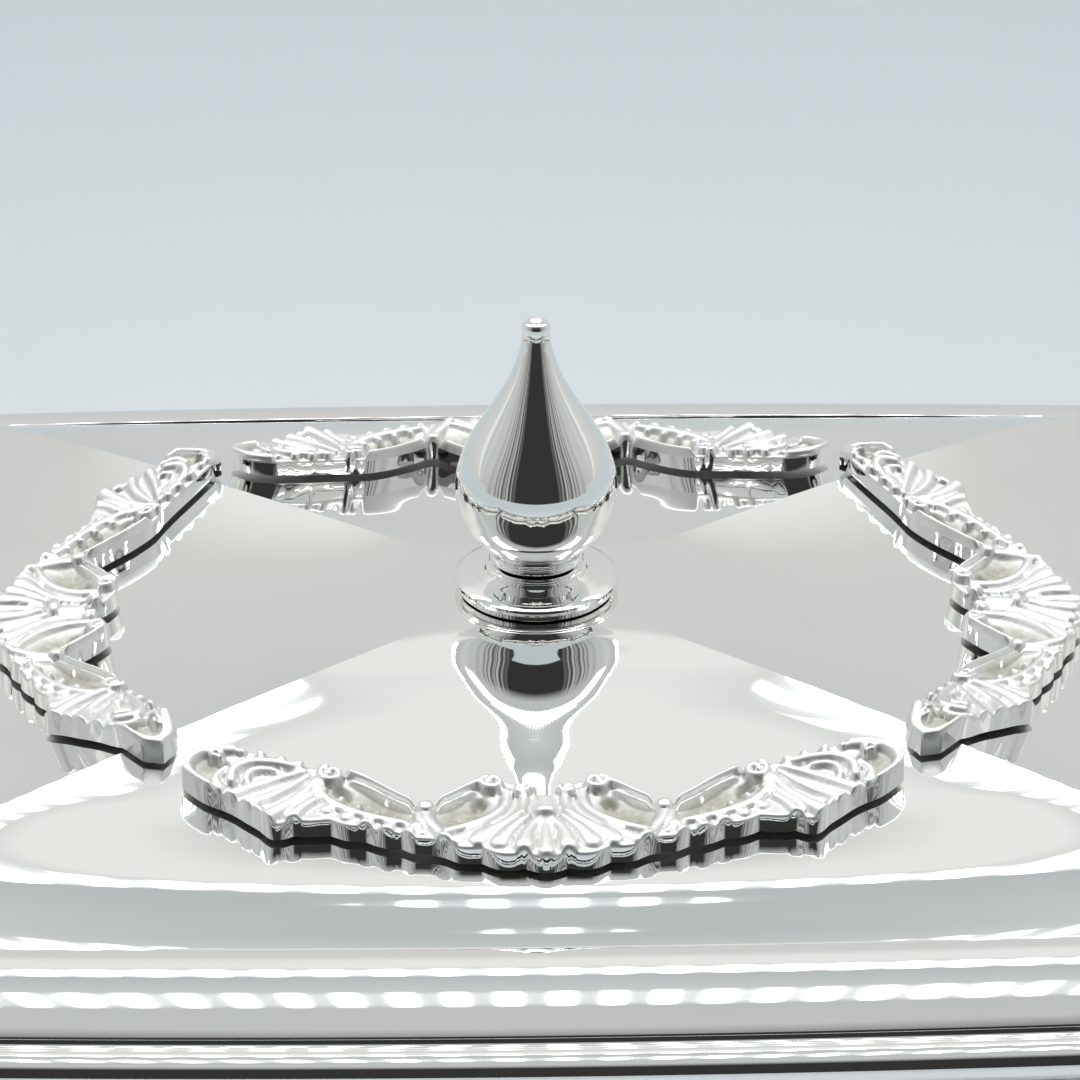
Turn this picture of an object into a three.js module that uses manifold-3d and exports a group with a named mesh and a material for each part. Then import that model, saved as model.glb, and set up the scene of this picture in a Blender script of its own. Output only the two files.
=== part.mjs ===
// A rectangular silver-plated trinket box: a creased, domed lid with a ring of four cast
// scroll mounts and a turned knob, over a low walled body with a velvet lining and four feet.
// Millimetres, +Z up, the front is -Y, and the origin is on the ground under the middle.
import * as THREE from "three";
import Module from "manifold-3d";
import { mergeVertices } from "three/addons/utils/BufferGeometryUtils.js";

const wasm = await Module();
wasm.setup();

// ---- Driving dimensions ----
const box_width = 224;          // over the rims, along X
const box_depth = 182;          // over the rims, along Y
const side_bow_radius = 1860;   // every side is bowed out gently
const corner_radius = 3;        // of the outermost rim
const fit_gap = 0.3;            // between pieces that touch
const slide_gap = 0.7;          // between the lid's tongue and the walls

const pad_height = 1;           // felt disc under each foot
const foot_height = 12.4;
const foot_radius = 8.4;
const foot_inset = 12.2;        // foot centre, in from the ends of the bowed sides
const wall_height = 60;
const wall_inset = 5;           // wall's outer face, in from the rims
const wall_sheet = 1.2;
const base_sheet = 1.2;
const rim_height = 6.4;         // moulding round the mouth
const plinth_height = 8;        // moulding round the bottom
const plinth_spread = 2;        // how far it stands out past the rims

const skirt_height = 7;         // lid's plain upright band
const skirt_inset = 3;
const lid_sheet = 1;
const bead_radius = 2.6;
const ovolo_radius = 14;        // broad round between vault and bead
const ovolo_turn = 48;          // degrees
const vault_inset = 16;         // edge of the four facets, in from the rims
const ridge_drop = 0.4;         // fall of the four ridges: an even part,
const crown_drop = 4.6;         // a rounded part
const shoulder_drop = 4.2;      // and a quick part near the edge
const flat_share = 0.15;        // flat round the knob, as a share of the way to the edge
const tongue_depth = 6;         // locating strip that enters the box
const tongue_sheet = 1;
const lining_board = 2;         // velvet-covered card on the walls
const floor_pad_height = 5;
const lid_pad_height = 3;

const mount_thickness = 3.4;
const mount_seat = 0.6;         // under a casting, over the lid's ridges and hollows
const mount_margin = 11.5;      // from the castings to the edge of the facets
const end_mount_shift = 2.8;    // the two at the short sides sit farther out,
const end_mount_bend = 9;       // are bent to a deeper arc
const end_mount_chord = 0.955;  // and so span a shorter chord

const knob_ball_radius = 11;
const knob_height = 39.3;       // above the lid's apex
const rosette_radius = 11.3;
const rosette_height = 4.2;
const stud_radius = 1.9;
const stud_clearance = 0.35;
const stud_below = 8;           // how far the stud hangs under the apex
const nut_flats = 7;
const nut_height = 3;
const washer_radius = 6;
const washer_height = 1;

const screw_radius = 1.2;
const screw_head_radius = 3;
const screw_head_height = 1.5;
const screw_length = 8;

// ---- Heights that follow ----
const base_bottom = pad_height + foot_height + 2 * fit_gap;
const base_top = base_bottom + base_sheet;
const wall_bottom = base_top + fit_gap;
const wall_top = wall_bottom + wall_height;
const lid_bottom = wall_top + 2 * fit_gap;
const bead_z = skirt_height + bead_radius;
const turn = THREE.MathUtils.degToRad(ovolo_turn);
const ovolo_top = bead_z + bead_radius + 0.3 + ovolo_radius * (1 - Math.cos(turn));
const vault_edge_z = ovolo_top - 0.6;
const apex_z = vault_edge_z + ridge_drop + crown_drop + shoulder_drop;
const lid_apex = lid_bottom + apex_z;
const wall_inner_inset = wall_inset + wall_sheet;
const tongue_inset = wall_inner_inset + slide_gap;

// ---- Materials ----
const silver = () => new THREE.MeshStandardMaterial({ color: 0xe6e4e0, roughness: 0.08, metalness: 1 });
const cast_silver = () => new THREE.MeshStandardMaterial({ color: 0xebe8e2, roughness: 0.2, metalness: 1 });
const brass = () => new THREE.MeshStandardMaterial({ color: 0xc9a85c, roughness: 0.35, metalness: 1 });
const steel = () => new THREE.MeshStandardMaterial({ color: 0xb4b6b8, roughness: 0.35, metalness: 1 });
const velvet = () => new THREE.MeshStandardMaterial({ color: 0x1e2440, roughness: 0.95, metalness: 0 });
const felt = () => new THREE.MeshStandardMaterial({ color: 0x2b2b30, roughness: 1, metalness: 0 });

// ---- Groups ----
const casket = new THREE.Group();
const body = new THREE.Group();
const lid = new THREE.Group();
lid.position.z = lid_bottom;
casket.add(body, lid);

function add(group, name, geometry, material) {
  const mesh = new THREE.Mesh(geometry, material);
  mesh.name = name;
  group.add(mesh);
  return mesh;
}

// ---- Plan shape: a rectangle whose sides are bowed out ----
const bow = (along) => (along * along) / (2 * side_bow_radius);

const side_steps = 8;
const corner_steps = 2;
const least_corner = 0.4;

// The outline with the given half sizes at mid-side, as points anticlockwise from the +X side.
function bowedOutline(half_x, half_y, radius) {
  let corner_x = half_x - bow(half_y);
  const corner_y = half_y - bow(corner_x);
  corner_x = half_x - bow(corner_y);
  const r = Math.max(radius, least_corner);
  const quarter = [];
  for (let i = 0; i <= side_steps / 2; i++) {
    const y = ((corner_y - r) * i) / (side_steps / 2);
    quarter.push([half_x - bow(y), y]);
  }
  for (let i = 1; i < corner_steps; i++) {
    const a = (i / corner_steps) * (Math.PI / 2);
    quarter.push([corner_x - r + r * Math.cos(a), corner_y - r + r * Math.sin(a)]);
  }
  for (let i = side_steps / 2; i >= 0; i--) {
    const x = ((corner_x - r) * i) / (side_steps / 2);
    quarter.push([x, half_y - bow(x)]);
  }
  const mirrored = (points, sx, sy) => points.map(([x, y]) => [x * sx, y * sy]);
  const second = mirrored(quarter, -1, 1).reverse().slice(1);
  const third = mirrored(quarter, -1, -1).slice(1);
  const fourth = mirrored(quarter, 1, -1).reverse().slice(1, -1);
  return [...quarter, ...second, ...third, ...fourth];
}

const insetOutline = (inset) =>
  bowedOutline(box_width / 2 - inset, box_depth / 2 - inset, corner_radius - inset);

const ringAt = (outline, z) => outline.map(([x, y]) => [x, y, z]);

// Skin through a closed loop of rings, each with the same number of points.
function loftLoop(rings) {
  const n = rings[0].length;
  const index = [];
  rings.forEach((_, r) => {
    const next = (r + 1) % rings.length;
    for (let i = 0; i < n; i++) {
      const j = (i + 1) % n;
      const [a, b] = [r * n + i, r * n + j];
      const [c, d] = [next * n + j, next * n + i];
      index.push(a, c, b, a, d, c);
    }
  });
  const geometry = new THREE.BufferGeometry();
  geometry.setAttribute("position", new THREE.Float32BufferAttribute(rings.flat(2), 3));
  geometry.setIndex(index);
  geometry.computeVertexNormals();
  return geometry;
}

// A frame that follows the plan: its section is given as [inset, z] points, listed
// anticlockwise as seen with the inside of the box on the left.
const frameOf = (section) => loftLoop(section.map(([inset, z]) => ringAt(insetOutline(inset), z)));

function platform(outline, z, height) {
  const shape = new THREE.Shape(outline.map(([x, y]) => new THREE.Vector2(x, y)));
  const geometry = new THREE.ExtrudeGeometry(shape, { depth: height, bevelEnabled: false });
  return geometry.translate(0, 0, z);
}

function turned(points, segments = 32) {
  const profile = points.map(([r, z]) => new THREE.Vector2(r, z));
  return new THREE.LatheGeometry(profile, segments).rotateX(Math.PI / 2);
}

const rod = (radius, z, height, sides = 24) =>
  new THREE.CylinderGeometry(radius, radius, height, sides)
    .rotateX(Math.PI / 2)
    .translate(0, 0, z + height / 2);

function solid(geometry) {
  const bare = geometry.clone();
  bare.deleteAttribute("normal");
  bare.deleteAttribute("uv");
  const merged = mergeVertices(bare, 1e-4);
  const vertProperties = merged.attributes.position.array;
  const triVerts = new Uint32Array(merged.index.array);
  return new wasm.Manifold(new wasm.Mesh({ numProp: 3, vertProperties, triVerts }));
}

function cut(geometry, tools) {
  const mesh = tools.reduce((left, tool) => left.subtract(solid(tool)), solid(geometry)).getMesh();
  const result = new THREE.BufferGeometry();
  result.setAttribute("position", new THREE.BufferAttribute(mesh.vertProperties, 3));
  result.setIndex(new THREE.BufferAttribute(mesh.triVerts, 1));
  result.computeVertexNormals();
  return result;
}

// ---- Lid: the four facets ----
const vault_x = box_width / 2 - vault_inset;
const vault_y = box_depth / 2 - vault_inset;

// Fall of the ridges below the apex, at the share u of the way out to the facets' edge.
const ridgeDrop = (u) => ridge_drop * u + crown_drop * u ** 2 + shoulder_drop * u ** 12;

// Depth of a facet's middle below its ridges, at shares of the way out: [share, depth].
const facet_hollow = [
  [flat_share, 0], [0.24, 1.16], [0.34, 2.38], [0.44, 3.31], [0.55, 3.8], [0.62, 3.95], [0.68, 3.86],
  [0.76, 2.95], [0.84, 2.0], [0.87, 1.73], [0.9, 1.68], [0.95, 1.2], [1, 0],
];
function hollow(u) {
  const next = facet_hollow.findIndex(([share]) => u < share);
  if (next < 1) return 0;
  const [from, low] = facet_hollow[next - 1];
  const [to, high] = facet_hollow[next];
  return THREE.MathUtils.mapLinear(u, from, to, low, high);
}

function vaultZ(x, y) {
  const across = (Math.abs(x) + bow(y)) / vault_x;
  const along = (Math.abs(y) + bow(x)) / vault_y;
  const u = Math.max(across, along, 1e-6);
  const from_middle = Math.min(across, along) / u;
  return apex_z - ridgeDrop(u) - hollow(u) * (1 - from_middle ** 2);
}

const vault_steps = [0.09, 0.15, 0.24, 0.34, 0.44, 0.55, 0.62, 0.68, 0.76, 0.84, 0.9, 0.95, 1];
const stud_hole = stud_radius + stud_clearance;

function vaultRings(lower) {
  const rings = vault_steps.map((u) =>
    bowedOutline(vault_x * u, vault_y * u, 0).map(([x, y]) => [x, y, vaultZ(x, y) - lower]));
  const hole = rings[0].map(([x, y]) => {
    const a = Math.atan2(y, x);
    return [stud_hole * Math.cos(a), stud_hole * Math.sin(a), apex_z - lower];
  });
  return [hole, ...rings];
}

function lidShell() {
  const outer = [[vault_inset - 0.6, vault_edge_z - 0.5]];
  const ovolo_inset = vault_inset - 1.2;
  for (let i = 0; i <= 4; i++) {
    const a = (turn * i) / 4;
    outer.push([ovolo_inset - ovolo_radius * Math.sin(a), ovolo_top - ovolo_radius * (1 - Math.cos(a))]);
  }
  for (let degrees = 105; degrees >= -75; degrees -= 30) {
    const a = THREE.MathUtils.degToRad(degrees);
    outer.push([bead_radius * (1 - Math.cos(a)), bead_z + bead_radius * Math.sin(a)]);
  }
  outer.push([skirt_inset, skirt_height - 0.6], [skirt_inset, 0]);
  const inside = skirt_inset + lid_sheet;
  const inner = [
    [inside, 0],
    [inside, skirt_height],
    [inside + 0.9, bead_z],
    [inside + 1.4, bead_z + 1.8],
    [inside + 2.8, bead_z + 3.6],
    [inside + 4.9, bead_z + 5],
    [vault_inset - 4.5, vault_edge_z - 1.5],
    [vault_inset - 1.4, vault_edge_z - 1.6],
  ];
  const edging = [...outer, ...inner].map(([inset, z]) => ringAt(insetOutline(inset), z));
  return loftLoop([...vaultRings(0), ...edging, ...vaultRings(lid_sheet).reverse()]);
}
add(lid, "lid_shell", lidShell(), silver());

// ---- Lid: locating strip and lining ----
const shelf_z = 2;
const strip_outer = skirt_inset + lid_sheet + fit_gap;
const strip_inner = tongue_inset + tongue_sheet;
const strip_section = [
  [strip_outer, 0.6],
  [tongue_inset, 0.6],
  [tongue_inset, -tongue_depth],
  [strip_inner, -tongue_depth],
  [strip_inner, shelf_z],
  [strip_outer, shelf_z],
];
add(lid, "lid_locating_strip", frameOf(strip_section), silver());
const lid_pad = platform(insetOutline(strip_outer + fit_gap), shelf_z + fit_gap, lid_pad_height);
add(lid, "lid_lining_pad", lid_pad, velvet());

// ---- Lid: ring of four cast scroll mounts ----
// Half outline of one mount, from its middle to its end: [along, inner edge, outer edge].
const mount_outline = [
  [0, 50, 63.5],
  [2.6, 47.6, 63.2],
  [6.2, 46.4, 62.6],
  [8.6, 47.6, 61.8],
  [12, 50.4, 60.8],
  [14.6, 52.4, 60],
  [17.8, 50.4, 58.8],
  [21.2, 47.6, 57.6],
  [24.6, 45.6, 56.5],
  [27.3, 45, 55.8],
  [30.4, 44.2, 56.2],
  [33.4, 43.2, 56.6],
  [36, 42.4, 54],
  [39, 41.6, 51.6],
  [42, 42, 50],
  [44.8, 44.6, 47.6],
];
const mount_reach = mount_outline.at(-1)[0];
const mount_scale = (vault_y - mount_margin) / mount_outline[0][2];
const mount_rows = 5;

// Height of the casting across its width: thin at both edges and crowned between them.
const mountHeight = (share) => mount_thickness * (0.7 + 0.3 * Math.sin(Math.PI * share));

function scrollMount(quarter_turns) {
  const half = mount_outline.slice(1).reverse();
  const stations = [
    ...half.map(([along, inner, outer]) => [-along, inner, outer]),
    ...mount_outline,
  ];
  const turned_to = (quarter_turns * Math.PI) / 2;
  const on_short_side = quarter_turns % 2 === 1;
  const place = (drawn_along, drawn_out) => {
    const arch = 1 - (drawn_along / mount_reach) ** 2;
    const out = drawn_out + (on_short_side ? end_mount_shift + end_mount_bend * arch : 0);
    const along = drawn_along * (on_short_side ? end_mount_chord : 1);
    const x = (along * Math.cos(turned_to) + out * Math.sin(turned_to)) * mount_scale;
    const y = (along * Math.sin(turned_to) - out * Math.cos(turned_to)) * mount_scale;
    return [x, y, vaultZ(x, y) + mount_seat];
  };
  // Each station is a closed loop: along the underside outwards, then back over the top.
  const loops = stations.map(([along, inner, outer]) => {
    const under = [];
    const over = [];
    for (let j = 0; j < mount_rows; j++) {
      const share = j / (mount_rows - 1);
      const [x, y, z] = place(along, inner + (outer - inner) * share);
      under.push([x, y, z]);
      over.push([x, y, z + mountHeight(share)]);
    }
    return [...under, ...over.reverse()];
  });
  const n = loops[0].length;
  const index = [];
  for (let s = 0; s + 1 < loops.length; s++) {
    for (let i = 0; i < n; i++) {
      const j = (i + 1) % n;
      const [a, b] = [s * n + i, s * n + j];
      const [c, d] = [(s + 1) * n + j, (s + 1) * n + i];
      index.push(a, c, b, a, d, c);
    }
  }
  const last = (loops.length - 1) * n;
  for (let j = 0; j + 1 < mount_rows; j++) {
    const [u0, u1] = [j, j + 1];
    const [t0, t1] = [n - 1 - j, n - 2 - j];
    index.push(u0, t1, t0, u0, u1, t1);
    index.push(last + u0, last + t0, last + t1, last + u0, last + t1, last + u1);
  }
  const geometry = new THREE.BufferGeometry();
  geometry.setAttribute("position", new THREE.Float32BufferAttribute(loops.flat(2), 3));
  geometry.setIndex(index);
  geometry.computeVertexNormals();
  return geometry;
}
["front", "right", "back", "left"].forEach((side, i) => {
  add(lid, "mount_" + side, scrollMount(i), cast_silver());
});

// ---- Lid: knob, screwed on from below ----
const knob = new THREE.Group();
knob.position.z = apex_z;
lid.add(knob);

const stud_bore = stud_radius + stud_clearance;
const rosette_profile = [
  [stud_bore, fit_gap],
  [rosette_radius - 0.5, fit_gap],
  [rosette_radius, fit_gap + 0.4],
  [rosette_radius, 1.9],
  [rosette_radius - 0.6, 2.4],
  [8.6, 2.8],
  [6.9, 3.3],
  [6.1, rosette_height],
  [stud_bore, rosette_height],
  [stud_bore, fit_gap],
];
add(knob, "knob_rosette", turned(rosette_profile), silver());

// The finial: collar, ball, hollow-curved neck and a small capped tip, over a blind bore.
const finial_foot = rosette_height + fit_gap;
const ball_z = finial_foot + 0.98 * knob_ball_radius;
const bore_top = finial_foot + 10;
const finial_profile = [[0, bore_top], [stud_bore, bore_top], [stud_bore, finial_foot]];
finial_profile.push([6.2, finial_foot], [6.6, finial_foot + 0.6]);
for (let degrees = -48; degrees <= 18; degrees += 11) {
  const a = THREE.MathUtils.degToRad(degrees);
  finial_profile.push([knob_ball_radius * Math.cos(a), ball_z + knob_ball_radius * Math.sin(a)]);
}
const neck_bottom = ball_z + knob_ball_radius * Math.sin(THREE.MathUtils.degToRad(18));
const neck_curve = new THREE.CubicBezierCurve(
  new THREE.Vector2(knob_ball_radius * 0.951, neck_bottom),
  new THREE.Vector2(knob_ball_radius * 0.78, neck_bottom + 6.2),
  new THREE.Vector2(3.6, neck_bottom + 9.5),
  new THREE.Vector2(1.9, knob_height - 2.6),
);
neck_curve.getPoints(7).slice(1).forEach((p) => finial_profile.push([p.x, p.y]));
finial_profile.push([2.1, knob_height - 1.6], [1.6, knob_height - 0.3], [0, knob_height]);
add(knob, "knob_finial", turned(finial_profile), silver());

const stud_top = bore_top - fit_gap;
add(knob, "knob_stud", rod(stud_radius, -stud_below, stud_top + stud_below), steel());
const washer_z = -(ridgeDrop((washer_radius + 1) / vault_y) + lid_sheet + fit_gap + washer_height);
const washer_profile = [
  [stud_bore, washer_z],
  [washer_radius, washer_z],
  [washer_radius, washer_z + washer_height],
  [stud_bore, washer_z + washer_height],
  [stud_bore, washer_z],
];
add(knob, "knob_washer", turned(washer_profile, 24), brass());
const nut_z = washer_z - fit_gap - nut_height;
const nut_blank = rod(nut_flats / Math.sqrt(3), nut_z, nut_height, 6);
add(knob, "knob_nut", cut(nut_blank, [rod(stud_bore, nut_z - 1, nut_height + 2)]), brass());

// ---- Body: walls, rims and base ----
const wall_section = [
  [wall_inset, wall_bottom],
  [wall_inner_inset, wall_bottom],
  [wall_inner_inset, wall_top],
  [wall_inset, wall_top],
];
add(body, "body_walls", frameOf(wall_section), silver());

const rim_back = wall_inset - fit_gap;
const rim_top = lid_bottom - fit_gap;
const rim_bottom = rim_top - rim_height;
const rim_section = [
  [rim_back, rim_bottom],
  [rim_back, rim_top],
  [skirt_inset - 1.4, rim_top],
  [0.5, rim_top - 0.9],
  [0, rim_top - 2.2],
  [0.5, rim_top - 3.5],
  [1.8, rim_top - 4.3],
  [2.6, rim_top - 5.3],
];
add(body, "mouth_moulding", frameOf(rim_section), silver());

const plinth_section = [
  [rim_back, base_bottom],
  [rim_back, base_bottom + plinth_height],
  [3.4, base_bottom + plinth_height - 0.5],
  [2.5, base_bottom + 0.72 * plinth_height],
  [0.9, base_bottom + 0.5 * plinth_height],
  [-plinth_spread + 0.9, base_bottom + 0.38 * plinth_height],
  [-plinth_spread, base_bottom + 0.27 * plinth_height],
  [-plinth_spread, base_bottom],
];
add(body, "plinth_moulding", frameOf(plinth_section), silver());

const foot_x = box_width / 2 - bow(box_depth / 2) - foot_inset;
const foot_y = box_depth / 2 - bow(box_width / 2) - foot_inset;
const corners = [
  ["front_left", -foot_x, -foot_y],
  ["front_right", foot_x, -foot_y],
  ["back_right", foot_x, foot_y],
  ["back_left", -foot_x, foot_y],
];
const screw_clear = screw_radius + 0.4;
const screw_holes = corners.map(([, x, y]) =>
  rod(screw_clear, base_bottom - 1, base_sheet + 2, 16).translate(x, y, 0));
const base_blank = platform(insetOutline(wall_inset), base_bottom, base_sheet);
add(body, "base_plate", cut(base_blank, screw_holes), silver());

// ---- Body: feet with their screws and felt discs ----
const foot_bottom = pad_height + fit_gap;
const foot_top = foot_bottom + foot_height;
const screw_reach = screw_length + 0.6;
const foot_profile = [
  [0, foot_bottom],
  [0.5 * foot_radius, foot_bottom],
  [0.68 * foot_radius, foot_bottom + 0.12 * foot_height],
  [0.78 * foot_radius, foot_bottom + 0.32 * foot_height],
  [0.7 * foot_radius, foot_bottom + 0.52 * foot_height],
  [0.5 * foot_radius, foot_bottom + 0.66 * foot_height],
  [0.58 * foot_radius, foot_bottom + 0.76 * foot_height],
  [foot_radius, foot_bottom + 0.88 * foot_height],
  [foot_radius, foot_top],
  [screw_clear, foot_top],
  [screw_clear, foot_top - screw_reach],
  [0, foot_top - screw_reach],
];
const head_z = base_top + fit_gap;
const screw_profile = [
  [0, foot_top - screw_length],
  [screw_radius, foot_top - screw_length + 0.6],
  [screw_radius, head_z],
  [screw_head_radius, head_z],
  [screw_head_radius - 0.4, head_z + 0.6 * screw_head_height],
  [0, head_z + screw_head_height],
];
corners.forEach(([corner, x, y]) => {
  add(body, "foot_" + corner, turned(foot_profile, 24), cast_silver()).position.set(x, y, 0);
  add(body, "foot_screw_" + corner, turned(screw_profile, 16), brass()).position.set(x, y, 0);
  const disc = rod(0.5 * foot_radius, 0, pad_height);
  add(body, "foot_felt_" + corner, disc, felt()).position.set(x, y, 0);
});

// ---- Body: velvet lining ----
const lining_inset = wall_inner_inset + fit_gap;
const lining_bottom = wall_bottom + fit_gap;
const lining_top = lid_bottom - tongue_depth - 2 * fit_gap;
const lining_height = lining_top - lining_bottom;

// A strip along one side: its outer edge follows the wall, and its ends stop at reach.
function liningStrip(half, reach) {
  const steps = 6;
  const outer = [];
  const inner = [];
  for (let i = 0; i <= steps; i++) {
    const along = reach * ((2 * i) / steps - 1);
    outer.push([along, -(half - bow(along))]);
    inner.push([along, -(half - lining_board - bow(along))]);
  }
  return platform([...outer, ...inner.reverse()], lining_bottom, lining_height);
}
const long_half = box_depth / 2 - lining_inset;
const short_half = box_width / 2 - lining_inset;
const long_reach = short_half - bow(long_half) - fit_gap;
const short_reach = long_half - bow(short_half) - lining_board - 2 * fit_gap;
add(body, "lining_front", liningStrip(long_half, long_reach), velvet());
add(body, "lining_back", liningStrip(long_half, long_reach).rotateZ(Math.PI), velvet());
add(body, "lining_right", liningStrip(short_half, short_reach).rotateZ(Math.PI / 2), velvet());
add(body, "lining_left", liningStrip(short_half, short_reach).rotateZ(-Math.PI / 2), velvet());

const pad_bottom = head_z + screw_head_height + fit_gap;
const pad_outline = insetOutline(lining_inset + lining_board + 3 * fit_gap);
add(body, "floor_pad", platform(pad_outline, pad_bottom, floor_pad_height), velvet());

export default casket;
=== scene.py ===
"""A silver-plated trinket box: creased lid, ring of cast scroll mounts, turned knob, velvet lining."""
import math

import bpy
import numpy as np
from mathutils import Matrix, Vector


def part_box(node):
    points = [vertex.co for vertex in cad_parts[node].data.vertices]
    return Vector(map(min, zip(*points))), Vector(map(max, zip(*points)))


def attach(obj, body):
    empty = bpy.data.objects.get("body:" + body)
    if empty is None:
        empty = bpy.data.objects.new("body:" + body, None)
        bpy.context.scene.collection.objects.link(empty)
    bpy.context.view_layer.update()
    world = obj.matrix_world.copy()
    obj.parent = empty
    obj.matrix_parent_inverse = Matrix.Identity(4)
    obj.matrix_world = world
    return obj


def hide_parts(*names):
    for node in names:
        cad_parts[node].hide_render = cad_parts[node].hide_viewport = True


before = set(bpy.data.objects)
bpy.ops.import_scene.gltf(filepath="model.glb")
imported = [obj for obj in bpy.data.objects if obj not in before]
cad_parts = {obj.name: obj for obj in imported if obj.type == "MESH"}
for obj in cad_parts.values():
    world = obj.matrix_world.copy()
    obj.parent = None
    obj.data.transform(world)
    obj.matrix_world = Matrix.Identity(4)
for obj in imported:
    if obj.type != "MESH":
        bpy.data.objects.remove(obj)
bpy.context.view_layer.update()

MM = 0.001

# ---- Driving sizes, in millimetres ----
HALF_WIDTH = 112.0
HALF_DEPTH = 91.0
SIDE_BOW_RADIUS = 1860.0
CORNER_RADIUS = 3.0
SIDE_STEPS = 72
CORNER_STEPS = 6

LID_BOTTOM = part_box("lid_shell")[0].z / MM
LID_SHEET = 1.0
SKIRT_INSET = 3.0
SKIRT_HEIGHT = 7.0
BEAD_RADIUS = 2.6
OVOLO_RADIUS = 14.0
OVOLO_TURN = math.radians(48)
VAULT_INSET = 16.0
RIDGE_DROP = 0.4
CROWN_DROP = 4.6
SHOULDER_DROP = 4.2
# Depth of a facet's middle below its ridges, at shares of the way out from the knob.
HOLLOW_SHARES = np.array([0.15, 0.24, 0.34, 0.44, 0.55, 0.62, 0.68, 0.76, 0.84, 0.87, 0.9, 0.95, 1])
HOLLOW_DEPTHS = np.array([0, 1.16, 2.38, 3.31, 3.8, 3.95, 3.86, 2.95, 2.0, 1.73, 1.68, 1.2, 0])
VAULT_CORNER = 0.3
STUD_HOLE = 2.25
FIT_GAP = 0.3

MOUNT_SEAT = 0.6
END_MOUNT_SHIFT = 2.8
END_MOUNT_BEND = 9.0
END_MOUNT_CHORD = 0.955
BALL_RADIUS = 11.0

BEAD_Z = LID_BOTTOM + SKIRT_HEIGHT + BEAD_RADIUS
OVOLO_TOP = BEAD_Z + BEAD_RADIUS + 0.3 + OVOLO_RADIUS * (1 - math.cos(OVOLO_TURN))
VAULT_EDGE_Z = OVOLO_TOP - 0.6
APEX_Z = VAULT_EDGE_Z + RIDGE_DROP + CROWN_DROP + SHOULDER_DROP
VAULT_X = HALF_WIDTH - VAULT_INSET
VAULT_Y = HALF_DEPTH - VAULT_INSET


# ---- Working at the bench ----
def deselect_everything():
    if bpy.context.object and bpy.context.object.mode != "OBJECT":
        bpy.ops.object.mode_set(mode="OBJECT")
    bpy.ops.object.select_all(action="DESELECT")


def take(piece):
    """Makes this the only selected piece, ready for an operator."""
    deselect_everything()
    piece.select_set(True)
    bpy.context.view_layer.objects.active = piece


def edit_all():
    bpy.ops.object.mode_set(mode="EDIT")
    bpy.ops.mesh.select_all(action="SELECT")


def named(piece, name):
    piece.name = name
    piece.data.name = name
    return piece


def place_in_mesh(piece):
    take(piece)
    bpy.ops.object.transform_apply(location=True, rotation=True, scale=True)


def finish_with(piece, kind, **settings):
    """Adds a modifier to the piece and applies it."""
    take(piece)
    modifier = piece.modifiers.new(kind.title(), kind)
    for key, value in settings.items():
        setattr(modifier, key, value)
    bpy.ops.object.modifier_apply(modifier=modifier.name)


def clean_skin(piece):
    """Joins doubled vertices and turns every face outwards."""
    take(piece)
    edit_all()
    bpy.ops.mesh.remove_doubles(threshold=0.01 * MM)
    bpy.ops.mesh.normals_make_consistent(inside=False)
    bpy.ops.object.mode_set(mode="OBJECT")


def smooth(piece, degrees=32):
    take(piece)
    bpy.ops.object.shade_smooth_by_angle(angle=math.radians(degrees))


def settle(piece, body, slot, material, *nodes):
    """Puts a finished piece on its body, in place of its CAD nodes."""
    if not piece.data.materials:
        piece.data.materials.append(material)
    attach(piece, body)
    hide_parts(*nodes)
    return piece


def copy_to(piece, name, x, y):
    """A copy with its own mesh, moved by x and y millimetres."""
    copied = piece.copy()
    copied.data = piece.data.copy()
    bpy.context.collection.objects.link(copied)
    named(copied, name)
    take(copied)
    edit_all()
    bpy.ops.transform.translate(value=(x * MM, y * MM, 0))
    bpy.ops.object.mode_set(mode="OBJECT")
    return copied


# ---- Plan shape: a rectangle whose sides are bowed out ----
def bow(along):
    return along**2 / (2 * SIDE_BOW_RADIUS)


def bowed_outline(half_x, half_y, radius):
    """The outline with these half sizes at mid-side, anticlockwise from the +X side, as an array."""
    corner_x = half_x - bow(half_y)
    corner_y = half_y - bow(corner_x)
    corner_x = half_x - bow(corner_y)
    up = np.linspace(0, corner_y - radius, SIDE_STEPS // 2 + 1)
    turn = np.linspace(0, math.pi / 2, CORNER_STEPS + 1)[1:-1]
    back = np.linspace(corner_x - radius, 0, SIDE_STEPS // 2 + 1)
    round_x = corner_x - radius + radius * np.cos(turn)
    round_y = corner_y - radius + radius * np.sin(turn)
    quarter = np.concatenate([
        np.column_stack([half_x - bow(up), up]),
        np.column_stack([round_x, round_y]),
        np.column_stack([back, half_y - bow(back)]),
    ])
    second = (quarter * (-1, 1))[::-1][1:]
    third = (quarter * (-1, -1))[1:]
    fourth = (quarter * (1, -1))[::-1][1:-1]
    return np.concatenate([quarter, second, third, fourth])


def inset_outline(inset):
    return bowed_outline(HALF_WIDTH - inset, HALF_DEPTH - inset, max(CORNER_RADIUS - inset, 0.5))


# ---- Mouldings, plates and pads: a plan ring drawn up by extruding ----
def plan_ring(name, inset, z, filled):
    deselect_everything()
    outline = inset_outline(inset)
    fill = "NGON" if filled else "NOTHING"
    bpy.ops.mesh.primitive_circle_add(vertices=len(outline), radius=1, fill_type=fill)
    ring = named(bpy.context.object, name)
    for vertex, (x, y) in zip(ring.data.vertices, outline):
        vertex.co = (x * MM, y * MM, z * MM)
    return ring


def narrowing(inset, next_inset):
    """How much a ring shrinks, along each axis, on its way from one inset to the next."""
    wide = (HALF_WIDTH - next_inset) / (HALF_WIDTH - inset)
    deep = (HALF_DEPTH - next_inset) / (HALF_DEPTH - inset)
    return (wide, deep, 1)


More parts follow.
